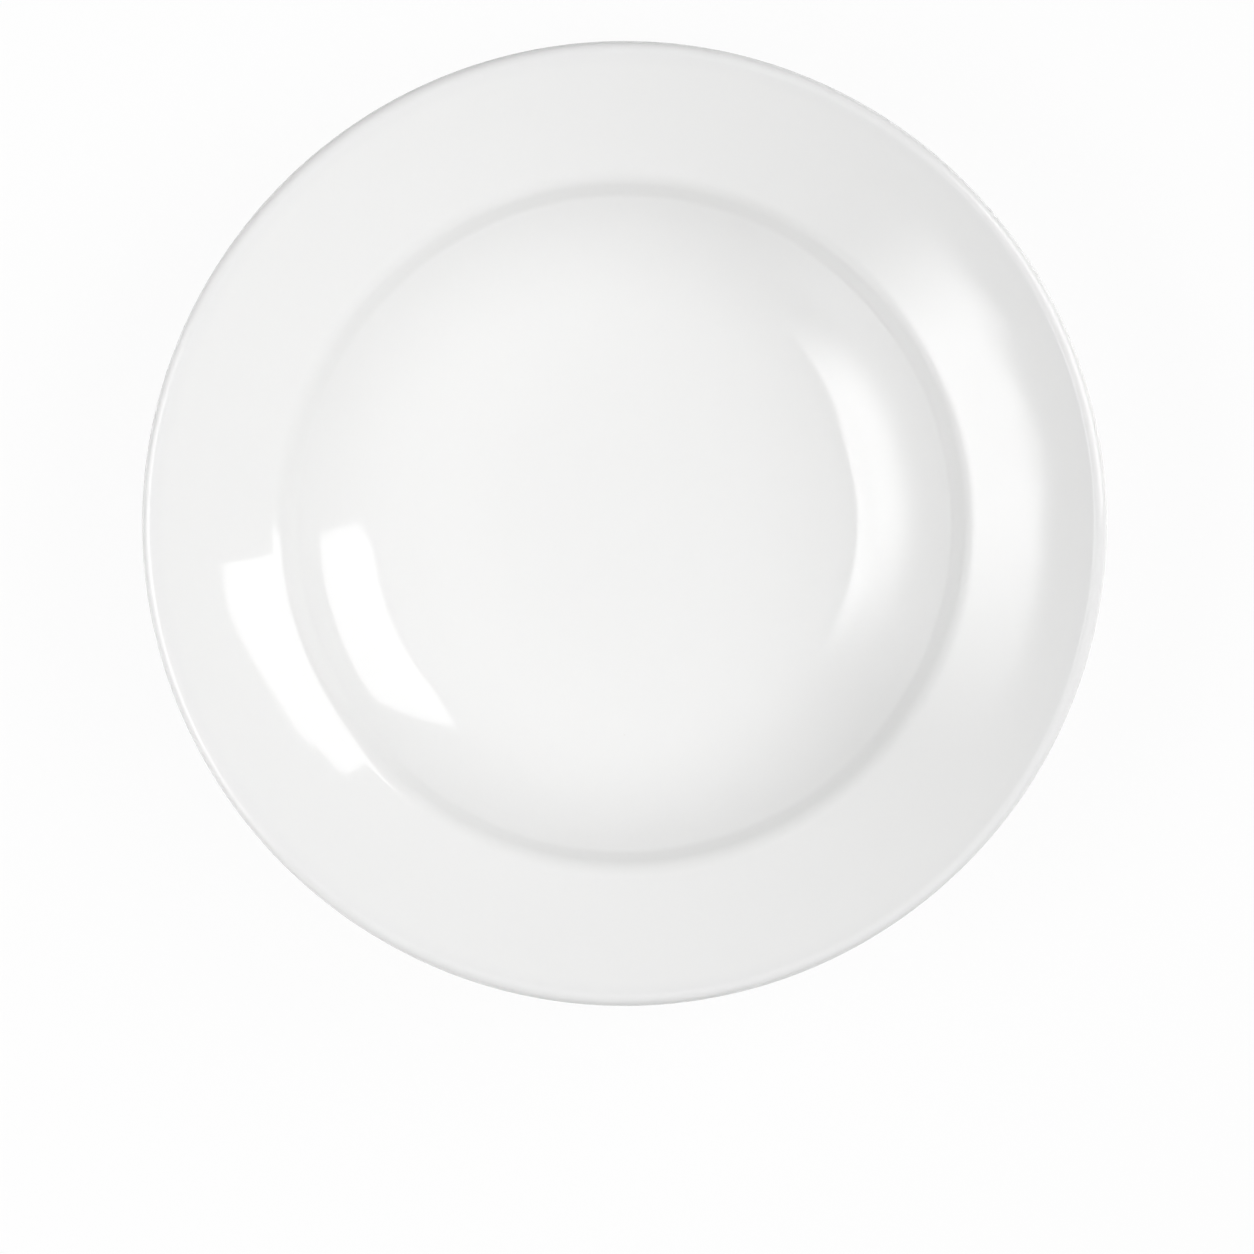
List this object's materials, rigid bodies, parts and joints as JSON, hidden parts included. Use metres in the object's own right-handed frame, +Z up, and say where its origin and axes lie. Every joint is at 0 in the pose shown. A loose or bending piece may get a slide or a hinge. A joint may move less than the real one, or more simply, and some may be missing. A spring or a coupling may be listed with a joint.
{
  "type": "pasta bowl",
  "caption": "Round white glazed ceramic pasta bowl with a deep well, a wide sloping rim with a rolled edge, and a low bare foot ring.",
  "frame": {"origin": "centre of the foot ring's standing face, on the table", "axes": "+Z up along the bowl's axis of revolution; X and Y lie in the table's plane"},
  "size_m": [0.3, 0.3, 0.049],
  "materials": {
    "clay": "bare vitrified clay, matt and finely ground on the standing face",
    "glaze": "white gloss glaze"
  },
  "bodies": {
    "root": {"clay_body": "clay", "glaze_coat": "glaze", "base_glaze": "glaze"}
  },
  "joints": []
}
